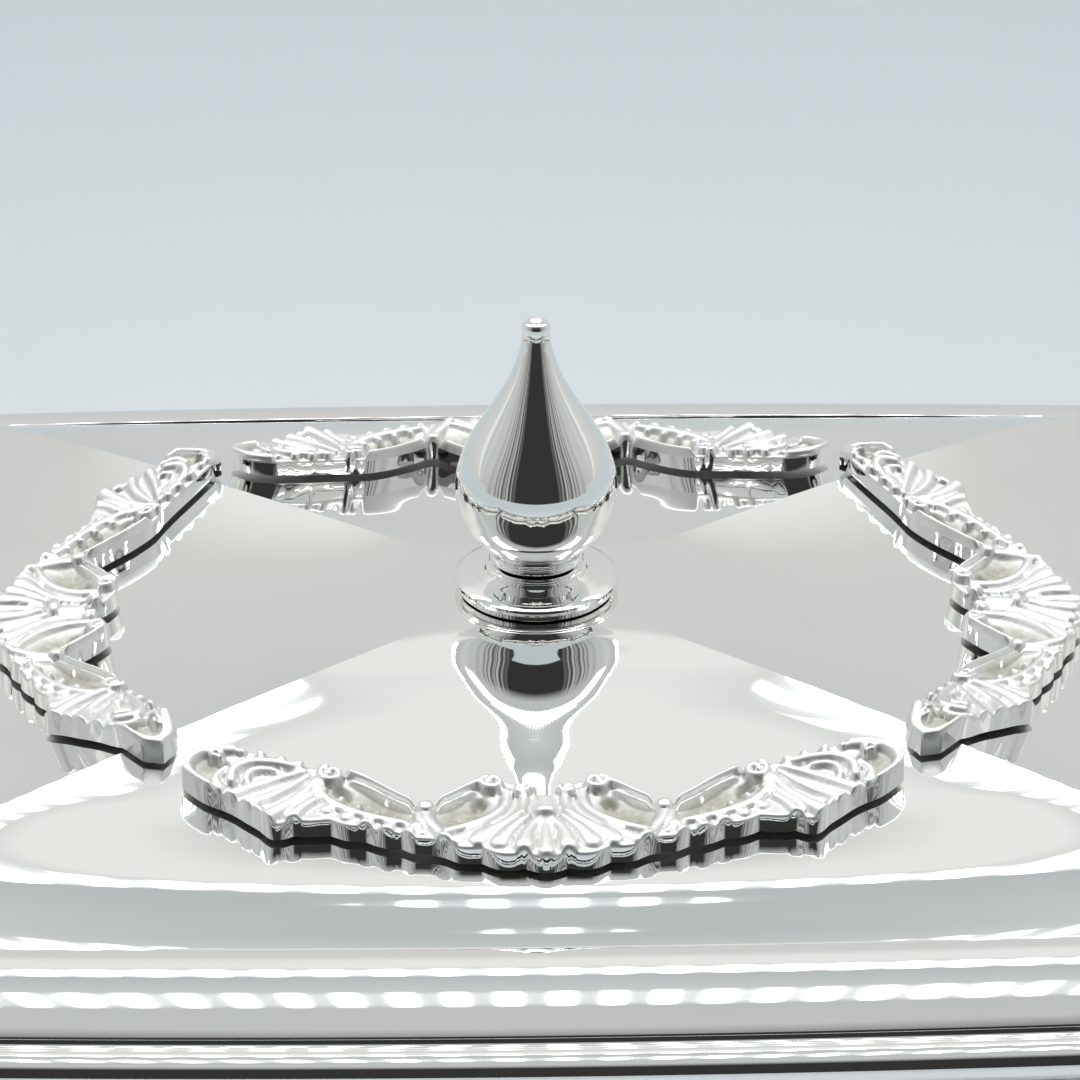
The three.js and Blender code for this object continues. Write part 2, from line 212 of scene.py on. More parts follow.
def run_moulding(name, section):
    """A frame round the plan. The section is a closed loop of [inset, z] points."""
    piece = plan_ring(name, *section[0], filled=False)
    edit_all()
    for (inset, z), (next_inset, next_z) in zip(section, section[1:]):
        rise = (next_z - z) * MM
        bpy.ops.mesh.extrude_edges_move(TRANSFORM_OT_translate={"value": (0, 0, rise)})
        bpy.ops.transform.resize(value=narrowing(inset, next_inset), center_override=(0, 0, 0))
    bpy.ops.mesh.select_all(action="DESELECT")
    bpy.ops.mesh.select_mode(type="EDGE")
    bpy.ops.mesh.select_non_manifold()
    bpy.ops.mesh.bridge_edge_loops()
    bpy.ops.mesh.select_mode(type="VERT")
    clean_skin(piece)
    return piece


def raise_plate(name, section):
    """A solid plate or pad on the plan: its underside face drawn up through [inset, z] points."""
    piece = plan_ring(name, *section[0], filled=True)
    edit_all()
    for (inset, z), (next_inset, next_z) in zip(section, section[1:]):
        rise = (next_z - z) * MM
        bpy.ops.mesh.extrude_region_move(TRANSFORM_OT_translate={"value": (0, 0, rise)})
        bpy.ops.transform.resize(value=narrowing(inset, next_inset), center_override=(0, 0, 0))
    clean_skin(piece)
    return piece


def arc(centre, radius, start, end, steps):
    """Points [a, b] on an arc, in degrees."""
    angles = np.radians(np.linspace(start, end, steps + 1))
    return [(centre[0] + radius * math.cos(a), centre[1] + radius * math.sin(a)) for a in angles]


# ---- Turned pieces: a profile spun on the lathe ----
def turn_on_lathe(name, profile, x=0.0, y=0.0, steps=96, closed=False):
    """A profile of (radius, z) points spun about the upright line at x, y.

    A closed profile is a loop clear of the line; an open one starts and ends on it.
    """
    deselect_everything()
    bpy.ops.mesh.primitive_circle_add(vertices=len(profile), radius=1, fill_type="NOTHING")
    piece = named(bpy.context.object, name)
    for vertex, (radius, z) in zip(piece.data.vertices, profile):
        vertex.co = ((x + radius) * MM, y * MM, z * MM)
    bpy.ops.object.mode_set(mode="EDIT")
    if not closed:
        bpy.ops.mesh.select_mode(type="EDGE")
        bpy.ops.mesh.select_all(action="DESELECT")
        bpy.ops.object.mode_set(mode="OBJECT")
        for edge in piece.data.edges:
            edge.select = set(edge.vertices) == {0, len(profile) - 1}
        bpy.ops.object.mode_set(mode="EDIT")
        bpy.ops.mesh.delete(type="EDGE")
        bpy.ops.mesh.select_mode(type="VERT")
    bpy.ops.mesh.select_all(action="SELECT")
    bpy.ops.mesh.spin(steps=steps, angle=2 * math.pi, center=(x * MM, y * MM, 0), axis=(0, 0, 1))
    clean_skin(piece)
    return piece


def bezier(p0, p1, p2, p3, steps):
    t = np.linspace(0, 1, steps + 1)[:, None]
    points = [np.array(p, float) for p in (p0, p1, p2, p3)]
    weights = ((1 - t) ** 3, 3 * t * (1 - t) ** 2, 3 * t**2 * (1 - t), t**3)
    return [tuple(p) for p in sum(w * p for w, p in zip(weights, points))]


# ---- Finishes ----
def new_group(name, inputs, outputs):
    group = bpy.data.node_groups.new(name, "ShaderNodeTree")
    for socket, kind, default in inputs:
        made = group.interface.new_socket(name=socket, in_out="INPUT", socket_type=kind)
        if default is not None:
            made.default_value = default
    for socket, kind in outputs:
        group.interface.new_socket(name=socket, in_out="OUTPUT", socket_type=kind)
    entry = group.nodes.new("NodeGroupInput")
    leave = group.nodes.new("NodeGroupOutput")
    return group, entry, leave


def place_node(tree, kind, **settings):
    node = tree.nodes.new(kind)
    for key, value in settings.items():
        setattr(node, key, value)
    return node


def remap(tree, source, low, high, to_low, to_high):
    node = place_node(tree, "ShaderNodeMapRange")
    tree.links.new(source, node.inputs["Value"])
    sockets = ("From Min", "From Max", "To Min", "To Max")
    for socket, value in zip(sockets, (low, high, to_low, to_high)):
        node.inputs[socket].default_value = value
    return node.outputs["Result"]


def noise(tree, coordinates, scale, detail=4.0, distortion=0.0):
    node = place_node(tree, "ShaderNodeTexNoise")
    tree.links.new(coordinates, node.inputs["Vector"])
    node.inputs["Scale"].default_value = scale
    node.inputs["Detail"].default_value = detail
    node.inputs["Distortion"].default_value = distortion
    return node.outputs["Fac"]


def math_node(tree, operation, first, second=None):
    node = place_node(tree, "ShaderNodeMath", operation=operation)
    for socket, value in zip(node.inputs, (first, second)):
        if value is None:
            continue
        if isinstance(value, (int, float)):
            socket.default_value = value
        else:
            tree.links.new(value, socket)
    return node.outputs[0]


def polish_group():
    """Polishing wear: a haze of finger marks, hair scratches and a rippled skin."""
    inputs = [
        ("Coordinates", "NodeSocketVector", None),
        ("Gloss Roughness", "NodeSocketFloat", 0.04),
        ("Haze", "NodeSocketFloat", 0.05),
        ("Scratches", "NodeSocketFloat", 0.05),
    ]
    outputs = [(name, "NodeSocketFloat") for name in ("Roughness", "Height", "Tint")]
    group, entry, leave = new_group("polish_wear", inputs, outputs)
    spot = entry.outputs["Coordinates"]
    haze = remap(group, noise(group, spot, 28, 5, 0.6), 0.5, 0.78, 0, 1)
    stretched = place_node(group, "ShaderNodeMapping")
    stretched.inputs["Scale"].default_value = (60, 2200, 1500)
    stretched.inputs["Rotation"].default_value = (0.2, 0.1, 0.5)
    group.links.new(spot, stretched.inputs["Vector"])
    hairs = remap(group, noise(group, stretched.outputs["Vector"], 1, 2), 0.66, 0.74, 0, 1)
    rough = math_node(group, "MULTIPLY", haze, entry.outputs["Haze"])
    rough = math_node(group, "ADD", rough, entry.outputs["Gloss Roughness"])
    marks = math_node(group, "MULTIPLY", hairs, entry.outputs["Scratches"])
    group.links.new(math_node(group, "ADD", rough, marks), leave.inputs["Roughness"])
    ripple = noise(group, spot, 16, 2)
    fine = math_node(group, "MULTIPLY", hairs, 0.002)
    group.links.new(math_node(group, "SUBTRACT", ripple, fine), leave.inputs["Height"])
    group.links.new(haze, leave.inputs["Tint"])
    return group


def nap_group():
    """Cut pile: fine fibres, with brushed patches where the pile lies another way."""
    inputs = [
        ("Coordinates", "NodeSocketVector", None),
        ("Fibre Scale", "NodeSocketFloat", 2600),
    ]
    outputs = [("Fibre", "NodeSocketFloat"), ("Patch", "NodeSocketFloat")]
    group, entry, leave = new_group("pile_nap", inputs, outputs)
    spot = entry.outputs["Coordinates"]
    fibre = place_node(group, "ShaderNodeTexNoise")
    fibre.inputs["Detail"].default_value = 3
    group.links.new(spot, fibre.inputs["Vector"])
    group.links.new(entry.outputs["Fibre Scale"], fibre.inputs["Scale"])
    group.links.new(fibre.outputs["Fac"], leave.inputs["Fibre"])
    patch = remap(group, noise(group, spot, 22, 3, 0.8), 0.35, 0.65, 0, 1)
    group.links.new(patch, leave.inputs["Patch"])
    return group


polish_wear = polish_group()
pile_nap = nap_group()


def new_finish(name):
    material = bpy.data.materials.new(name)
    material.use_nodes = True
    tree = material.node_tree
    shader = tree.nodes["Principled BSDF"]
    spot = place_node(tree, "ShaderNodeTexCoord").outputs["Object"]
    return material, tree, shader, spot


def bump_to(tree, shader, height, distance, strength):
    bump = place_node(tree, "ShaderNodeBump")
    bump.inputs["Strength"].default_value = strength
    bump.inputs["Distance"].default_value = distance
    tree.links.new(height, bump.inputs["Height"])
    tree.links.new(bump.outputs["Normal"], shader.inputs["Normal"])


def mix_colour(tree, share, first, second):
    mix = place_node(tree, "ShaderNodeMix", data_type="RGBA")
    tree.links.new(share, mix.inputs["Factor"])
    for socket, value in ((mix.inputs["A"], first), (mix.inputs["B"], second)):
        if isinstance(value, tuple):
            socket.default_value = (*value, 1)
        else:
            tree.links.new(value, socket)
    return mix.outputs["Result"]


def worn(tree, spot, gloss, haze, scratches):
    wear = place_node(tree, "ShaderNodeGroup", node_tree=polish_wear)
    tree.links.new(spot, wear.inputs["Coordinates"])
    wear.inputs["Gloss Roughness"].default_value = gloss
    wear.inputs["Haze"].default_value = haze
    wear.inputs["Scratches"].default_value = scratches
    return wear.outputs


def plated(name, bright, dull, gloss, haze, scratches, ripple):
    """Plated metal with its polishing wear."""
    material, tree, shader, spot = new_finish(name)
    wear = worn(tree, spot, gloss, haze, scratches)
    shader.inputs["Metallic"].default_value = 1
    colour = mix_colour(tree, wear["Tint"], bright, dull)
    tree.links.new(colour, shader.inputs["Base Color"])
    tree.links.new(wear["Roughness"], shader.inputs["Roughness"])
    bump_to(tree, shader, wear["Height"], 1.0 * MM, ripple)
    return material


def cast_silver_finish():
    """Cast silver: bright on the high parts, darker and rougher where polish doesn't reach."""
    material, tree, shader, spot = new_finish("cast_silver_finish")
    wear = worn(tree, spot, 0.42, 0.08, 0.04)
    depth = place_node(tree, "ShaderNodeAttribute", attribute_name="recess")
    grain = noise(tree, spot, 900, 3)
    mottle = remap(tree, grain, 0.3, 0.6, 0.55, 1.0)
    toned = math_node(tree, "MULTIPLY", depth.outputs["Fac"], mottle)
    colour = mix_colour(tree, toned, (0.86, 0.855, 0.83), (0.5, 0.48, 0.4))
    tree.links.new(colour, shader.inputs["Base Color"])
    dull = math_node(tree, "MULTIPLY", depth.outputs["Fac"], 0.25)
    rough = math_node(tree, "ADD", dull, wear["Roughness"])
    tree.links.new(rough, shader.inputs["Roughness"])
    shader.inputs["Metallic"].default_value = 1
    bump_to(tree, shader, grain, 0.12 * MM, 0.35)
    return material


def pile(name, deep, light, fibre_scale, sheen):
    """Velvet or felt."""
    material, tree, shader, spot = new_finish(name)
    nap = place_node(tree, "ShaderNodeGroup", node_tree=pile_nap)
    tree.links.new(spot, nap.inputs["Coordinates"])
    nap.inputs["Fibre Scale"].default_value = fibre_scale
    fibres = mix_colour(tree, nap.outputs["Fibre"], deep, light)
    brushing = math_node(tree, "MULTIPLY", nap.outputs["Patch"], 0.35)
    brushed = mix_colour(tree, brushing, fibres, light)
    tree.links.new(brushed, shader.inputs["Base Color"])
    shader.inputs["Roughness"].default_value = 0.92
    shader.inputs["Sheen Weight"].default_value = sheen
    shader.inputs["Sheen Roughness"].default_value = 0.35
    shader.inputs["Sheen Tint"].default_value = (*light, 1)
    bump_to(tree, shader, nap.outputs["Fibre"], 0.4 * MM, 0.8)
    return material


# Each plating: its bright and dull colours, then gloss, haze, scratches and ripple.
polished_silver = plated(
    "polished_silver_finish", (0.93, 0.925, 0.91), (0.9, 0.895, 0.88), 0.02, 0.03, 0.02, 0.04
)
knob_silver = plated(
    "knob_silver_finish", (0.95, 0.945, 0.93), (0.92, 0.91, 0.89), 0.02, 0.03, 0.01, 0.01
)
cast_silver = cast_silver_finish()
brass = plated("brass_finish", (0.8, 0.62, 0.32), (0.66, 0.5, 0.26), 0.22, 0.2, 0.1, 0.1)
steel = plated("steel_finish", (0.6, 0.6, 0.61), (0.5, 0.5, 0.51), 0.28, 0.15, 0.12, 0.1)
velvet = pile("velvet_finish", (0.006, 0.009, 0.035), (0.03, 0.045, 0.13), 2600, 0.7)
felt = pile("felt_finish", (0.012, 0.012, 0.014), (0.05, 0.05, 0.055), 1500, 0.3)


# ---- Lid: shell with its four hollow facets ----
def ridge_drop(u):
    """Fall of the ridges below the apex, at the share u of the way out to the facets' edge."""
    return RIDGE_DROP * u + CROWN_DROP * u**2 + SHOULDER_DROP * u**12


def flowing(knots, values, at):
    """A smooth curve through the values, without overshoot between them."""
    steps = np.diff(knots)
    slopes = np.diff(values) / steps
    tangents = np.concatenate([[0.0], (slopes[1:] + slopes[:-1]) / 2, [slopes[-1]]])
    i = np.clip(np.searchsorted(knots, at) - 1, 0, len(steps) - 1)
    t = (at - knots[i]) / steps[i]
    rise = (2 * t**3 - 3 * t**2 + 1) * values[i] + (3 * t**2 - 2 * t**3) * values[i + 1]
    swing = (t**3 - 2 * t**2 + t) * tangents[i] + (t**3 - t**2) * tangents[i + 1]
    return rise + steps[i] * swing


def place_on_facet(x, y):
    """Share of the way out to the facets' edge, and from a facet's middle (0) to a ridge (1)."""
    across = (np.abs(x) + bow(y)) / VAULT_X
    along = (np.abs(y) + bow(x)) / VAULT_Y
    u = np.maximum(np.maximum(across, along), 1e-6)
    return u, np.minimum(across, along) / u


def vault_z(x, y):
    """Height of the lid's facets over the plan, for arrays of x and y."""
    u, from_middle = place_on_facet(x, y)
    hollow = flowing(HOLLOW_SHARES, HOLLOW_DEPTHS, np.clip(u, HOLLOW_SHARES[0], 1))
    return APEX_Z - ridge_drop(u) - hollow * (1 - from_middle**2)


def lid_edging():
    """Section of the lid's edge from the skirt's foot to the facets, as [inset, z]."""
    section = [(SKIRT_INSET, LID_BOTTOM), (SKIRT_INSET, LID_BOTTOM + 0.4)]
    section += [(SKIRT_INSET, LID_BOTTOM + z) for z in (2.5, 4.5, SKIRT_HEIGHT - 0.9)]
    section.append((SKIRT_INSET - 0.15, LID_BOTTOM + SKIRT_HEIGHT - 0.3))
    bead = arc((0, 0), BEAD_RADIUS, -66, 100, 26)
    section += [(BEAD_RADIUS - a, BEAD_Z + b) for a, b in bead]
    ovolo_inset = VAULT_INSET - 1.2
    ovolo = []
    for turn in np.linspace(OVOLO_TURN, -0.12, 30):
        drop = OVOLO_RADIUS * (1 - math.cos(turn))
        ovolo.append((ovolo_inset - OVOLO_RADIUS * math.sin(turn), OVOLO_TOP - drop))
    quirk = 0.35
    section.append((ovolo[0][0] + quirk, ovolo[0][1] - quirk))
    section += ovolo
    section.append((VAULT_INSET - 0.55, VAULT_EDGE_Z - 0.45))
    section.append((VAULT_INSET - 0.35, VAULT_EDGE_Z - 0.4))
    return section


def loft(name, rings):
    """A skin through rings of the same number of points, open at both ends."""
    count = len(rings[0])
    faces = []
    for r in range(len(rings) - 1):
        for i in range(count):
            j = (i + 1) % count
            faces.append((r * count + i, r * count + j, (r + 1) * count + j, (r + 1) * count + i))
    mesh = bpy.data.meshes.new(name)
    mesh.from_pydata((np.concatenate(rings) * MM).tolist(), [], faces)
    piece = bpy.data.objects.new(name, mesh)
    bpy.context.collection.objects.link(piece)
    return piece


def make_lid_shell():
    rings = []
    for inset, z in lid_edging():
        outline = inset_outline(inset)
        rings.append(np.column_stack([outline, np.full(len(outline), z)]))
    facet_rings = len(rings)
    for u in np.concatenate([np.linspace(1, 0.86, 16), np.linspace(0.85, 0.07, 60)]):
        outline = bowed_outline(VAULT_X * u, VAULT_Y * u, VAULT_CORNER * u)
        rings.append(np.column_stack([outline, vault_z(outline[:, 0], outline[:, 1])]))
    angle = np.arctan2(outline[:, 1], outline[:, 0])
    rim = np.full(len(angle), APEX_Z - 0.03)
    rings.append(np.column_stack([STUD_HOLE * np.cos(angle), STUD_HOLE * np.sin(angle), rim]))
    shell = loft("lid_shell_fine", rings)
    take(shell)
    bpy.ops.object.shade_smooth()

    # The four creases stay sharp.
    first = facet_rings * len(angle)
    x = np.array([v.co.x for v in shell.data.vertices]) / MM
    y = np.array([v.co.y for v in shell.data.vertices]) / MM
    on_ridge = place_on_facet(x, y)[1] > 0.993
    for edge in shell.data.edges:
        a, b = edge.vertices
        if min(a, b) >= first and on_ridge[a] and on_ridge[b]:
            edge.use_edge_sharp = True
    clean_skin(shell)
    finish_with(shell, "SOLIDIFY", thickness=LID_SHEET * MM, offset=-1, use_even_offset=True)
    settle(shell, "lid", "polished_silver", polished_silver, "lid_shell")


make_lid_shell()

# ---- Camera and room ----
camera = bpy.data.objects.new("camera", bpy.data.cameras.new("camera"))
bpy.context.collection.objects.link(camera)
camera.data.lens = 105
camera.data.sensor_width = 36
camera.location = (-0.0075, -0.3825, APEX_Z * MM + 0.2008)
camera.rotation_euler = (math.radians(90 - 26.86), 0, math.radians(-1.2))
bpy.context.scene.camera = camera
bpy.context.scene.view_settings.view_transform = "Standard"


def make_floor():
    deselect_everything()
    bpy.ops.mesh.primitive_grid_add(x_subdivisions=8, y_subdivisions=8, size=12)
    floor = named(bpy.context.object, "floor")
    material, tree, shader, spot = new_finish("floor_with_painted_light")
    # Painted light: the floor's colour is a painted pool of light, lighter near the box (the first colour
    # below) and darker further out (the second). The noise mottle on top of it is random tone.
    far = place_node(tree, "ShaderNodeVectorMath", operation="LENGTH")
    tree.links.new(spot, far.inputs[0])
    distance = remap(tree, far.outputs["Value"], 0.27, 0.64, 0, 1)
    mottle = remap(tree, noise(tree, spot, 3, 2), 0.3, 0.7, -0.04, 0.04)
    painted_falloff_and_mottle = math_node(tree, "ADD", distance, mottle)
    colour = mix_colour(tree, painted_falloff_and_mottle, (0.691, 0.716, 0.729), (0.546, 0.599, 0.608))
    tree.links.new(colour, shader.inputs["Base Color"])
    shader.inputs["Roughness"].default_value = 0.9
    floor.data.materials.append(material)


make_floor()


# Bands of the tent, from the horizon behind the box, over the top, to the one in front of it:
# the climb in degrees, and the colour.
TENT_BANDS = [
    (0, 0.6, 0.62, 0.63),
    (24, 0.65, 0.66, 0.655),
    (36, 0.67, 0.67, 0.66),
    (43, 0.84, 0.85, 0.83),
    (52, 0.86, 0.87, 0.85),
    (55, 0.7, 0.72, 0.72),
    (63, 0.6, 0.64, 0.66),
    (65, 0.5, 0.54, 0.545),
    (84, 0.62, 0.655, 0.66),
    (100, 0.54, 0.57, 0.575),
    (125, 0.56, 0.58, 0.58),
    (180, 0.5, 0.51, 0.51),
]
# Strips of small lights across the tent: climb and half width in degrees, and power.
LIGHT_STRIPS = ((59.5, 5.0, 14.0), (91, 8.5, 7.0))
LIGHTS_PER_TURN = 324
STRIP_ENDS = (38, 42)
# The dark opening at the front, in degrees to each side of the middle.
OPENING_CORE = (30, 42)
OPENING_FRINGE = (48, 78)
OPENING_TOP = (0.7, 0.86)


def fade_out(tree, source, start, end):
    """One below the start, nothing past the end, both in degrees."""
    return remap(tree, source, math.radians(start), math.radians(end), 1, 0)


def tent_bands(tree, climb):
    ramp = place_node(tree, "ShaderNodeValToRGB")
    tree.links.new(remap(tree, climb, 0, math.pi, 0, 1), ramp.inputs["Fac"])
    elements = ramp.color_ramp.elements
    while len(elements) < len(TENT_BANDS):
        elements.new(0.5)
    for element, (degrees, *colour) in zip(elements, TENT_BANDS):
        element.position = degrees / 180
        element.color = (*colour, 1)
    return ramp.outputs["Color"]


def light_strips(tree, climb, x, y, z):
    """Brightness of the strips, broken into single lights and cut off at both ends."""
    strips = None
    for degrees, half_width, power in LIGHT_STRIPS:
        off = math_node(tree, "ABSOLUTE", math_node(tree, "SUBTRACT", climb, math.radians(degrees)))
        near, far = math.radians(half_width * 0.5), math.radians(half_width)
        strip = remap(tree, off, near, far, power, 0)
        strips = strip if strips is None else math_node(tree, "ADD", strips, strip)
    squares = [math_node(tree, "POWER", part, 2) for part in (y, z)]
    reach = math_node(tree, "SQRT", math_node(tree, "ADD", *squares))
    across = math_node(tree, "ARCTAN2", x, reach)
    phase = math_node(tree, "MULTIPLY", across, LIGHTS_PER_TURN)
    lights = remap(tree, math_node(tree, "SINE", phase), -0.3, 0.9, 0.03, 1)
    ends = fade_out(tree, math_node(tree, "ABSOLUTE", across), *STRIP_ENDS)
    return math_node(tree, "MULTIPLY", math_node(tree, "MULTIPLY", strips, lights), ends)


def dark_opening(tree, x, y, z):
    """Share of darkness: a plain core and a pleated fringe, low at the front."""
    facing = math_node(tree, "MULTIPLY", y, -1)
    aside = math_node(tree, "ABSOLUTE", math_node(tree, "ARCTAN2", x, facing))
    pleats = place_node(tree, "ShaderNodeTexNoise", noise_dimensions="1D")
    tree.links.new(aside, pleats.inputs["W"])
    pleats.inputs["Scale"].default_value = 11
    pleats.inputs["Detail"].default_value = 2
    folds = remap(tree, pleats.outputs["Fac"], 0.46, 0.54, 0.1, 0.9)
    fringe = math_node(tree, "MULTIPLY", folds, fade_out(tree, aside, *OPENING_FRINGE))
    opening = math_node(tree, "MAXIMUM", fade_out(tree, aside, *OPENING_CORE), fringe)
    low = remap(tree, z, *OPENING_TOP, 1, 0)
    in_front = remap(tree, facing, 0.0, 0.05, 0, 1)
    return math_node(tree, "MULTIPLY", math_node(tree, "MULTIPLY", opening, low), in_front)


def make_room_light():
    """A white tent: bands and strips of light overhead, and a dark opening at the front."""
    world = bpy.data.worlds.new("tent")
    bpy.context.scene.world = world
    world.use_nodes = True
    tree = world.node_tree
    background = tree.nodes["Background"]
    way = place_node(tree, "ShaderNodeSeparateXYZ")
    coordinates = place_node(tree, "ShaderNodeTexCoord")
    tree.links.new(coordinates.outputs["Generated"], way.inputs["Vector"])
    x, y, z = way.outputs
    climb = math_node(tree, "ARCTAN2", z, y)
    dark = dark_opening(tree, x, y, z)
    lit = mix_colour(tree, dark, tent_bands(tree, climb), (0.035, 0.035, 0.035))
    glow = place_node(tree, "ShaderNodeVectorMath", operation="SCALE")
    glow.inputs[0].default_value = (0.98, 1.0, 1.05)
    tree.links.new(light_strips(tree, climb, x, y, z), glow.inputs["Scale"])
    total = place_node(tree, "ShaderNodeVectorMath", operation="ADD")
    tree.links.new(lit, total.inputs[0])
    tree.links.new(glow.outputs[0], total.inputs[1])
    # Past the floor's edge the room is plain and pale.
    seen = place_node(tree, "ShaderNodeLightPath").outputs["Is Camera Ray"]
    final = mix_colour(tree, seen, total.outputs[0], (0.62, 0.67, 0.7))
    tree.links.new(final, background.inputs["Color"])
    background.inputs["Strength"].default_value = 1.0


make_room_light()

# ---- Knob ----
FINIAL_FOOT = 4.5
KNOB_HEIGHT = 39.3
BALL_Z = FINIAL_FOOT + 0.98 * BALL_RADIUS
BORE_TOP = FINIAL_FOOT + 10


def make_finial():
    collar = [(5.6, 0), (6.25, 0.15), (6.45, 0.45), (6.3, 0.8), (6.05, 0.95), (6.0, 1.1)]
    collar += [(6.3, 1.3), (6.75, 1.7)]
    tip = [(1.84, 2.45), (1.9, 2.3), (1.88, 1.0), (1.78, 0.4), (1.6, 0.12), (1.35, 0)]
    tip += [(1.0, 0.04), (0.8, 0.16), (0.62, 0.3), (0.3, 0.34), (0, 0.35)]
    profile = [(0, BORE_TOP), (STUD_HOLE, BORE_TOP), (STUD_HOLE, FINIAL_FOOT)]
    profile += [(r, FINIAL_FOOT + z) for r, z in collar]
    profile += arc((0, BALL_Z), BALL_RADIUS, -49, 18, 40)
    shoulder = profile[-1]
    neck = bezier(
        shoulder,
        (BALL_RADIUS * 0.78 + 0.35, shoulder[1] + 6.0),
        (3.6, shoulder[1] + 9.5),
        (1.9, KNOB_HEIGHT - 2.6),
        36,
    )
    profile += neck[1:]
    profile += [(r, KNOB_HEIGHT - drop) for r, drop in tip]
    finial = turn_on_lathe("knob_finial_fine", [(r, APEX_Z + z) for r, z in profile], steps=128)
    smooth(finial, 40)
    settle(finial, "lid", "knob_silver", knob_silver, "knob_finial")


def make_rosette():
    profile = [(STUD_HOLE, 0.05), (10.2, 0.05), (10.6, 0.12), (10.75, 0.35), (10.75, 0.75), (10.6, 0.95)]
    profile += [(10.45, 1.0), (10.45, 1.12), (11.0, 1.18), (11.22, 1.3), (11.3, 1.55), (11.2, 1.9)]
    profile += [(10.8, 2.2), (10.2, 2.4), (9.6, 2.52), (8.9, 2.7), (8.1, 2.86), (7.5, 3.0), (7.1, 3.15)]
    profile += [(6.95, 3.4), (6.85, 3.55), (6.6, 3.62), (6.45, 3.72), (6.45, 3.95), (6.3, 4.15)]
    profile += [(6.0, 4.2), (STUD_HOLE, 4.2)]
    profile = [(r, APEX_Z + z) for r, z in profile]
    rosette = turn_on_lathe("knob_rosette_fine", profile, steps=128, closed=True)
    smooth(rosette, 30)
    settle(rosette, "lid", "knob_silver", knob_silver, "knob_rosette")


make_finial()
make_rosette()

# ---- Lid: cast scroll mounts ----
# Half outline of a mount, from its middle to its end: along, inner edge, outer edge.
MOUNT_OUTLINE = np.array([
    (0, 50, 63.5), (2.6, 47.6, 63.2), (6.2, 46.4, 62.6), (8.6, 47.6, 61.8), (12, 50.4, 60.8),
    (14.6, 52.4, 60), (17.8, 50.4, 58.8), (21.2, 47.6, 57.6), (24.6, 45.6, 56.5), (27.3, 45, 55.8),
    (30.4, 44.2, 56.2), (33.4, 43.2, 56.6), (36, 42.4, 54), (39, 41.6, 51.6), (42, 42, 50),
    (44.8, 44.6, 47.6),
])
MOUNT_REACH = 44.8
MOUNT_BASE = 2.45   # height of the casting's ground over its seat
RIDGE_LIFT = 0.35   # added to the tops listed below
EDGE_ROUND = 0.45
STATIONS = 361
ROWS = 61


def spiral(centre, start_radius, end_radius, start, turns, steps=40):
    t = np.linspace(0, 1, steps)
    radius = start_radius + (end_radius - start_radius) * t
    angle = math.radians(start) + 2 * math.pi * turns * t
    return np.column_stack([centre[0] + radius * np.cos(angle), centre[1] + radius * np.sin(angle)])


def drawn(points, steps=30):
    """A smooth line through a few points."""
    points = np.array(points, float)
    if len(points) == 2:
        return points[0] + (points[1] - points[0]) * np.linspace(0, 1, steps)[:, None]
    knots = np.concatenate([[0], np.cumsum(np.hypot(*np.diff(points, axis=0).T))])
    at = np.linspace(0, knots[-1], steps)
    ends = [np.concatenate([[2 * c[0] - c[1]], c, [2 * c[-1] - c[-2]]]) for c in points.T]
    spaced = np.concatenate([[-knots[1]], knots, [2 * knots[-1] - knots[-2]]])
    return np.column_stack([flowing(spaced, c, at) for c in ends])


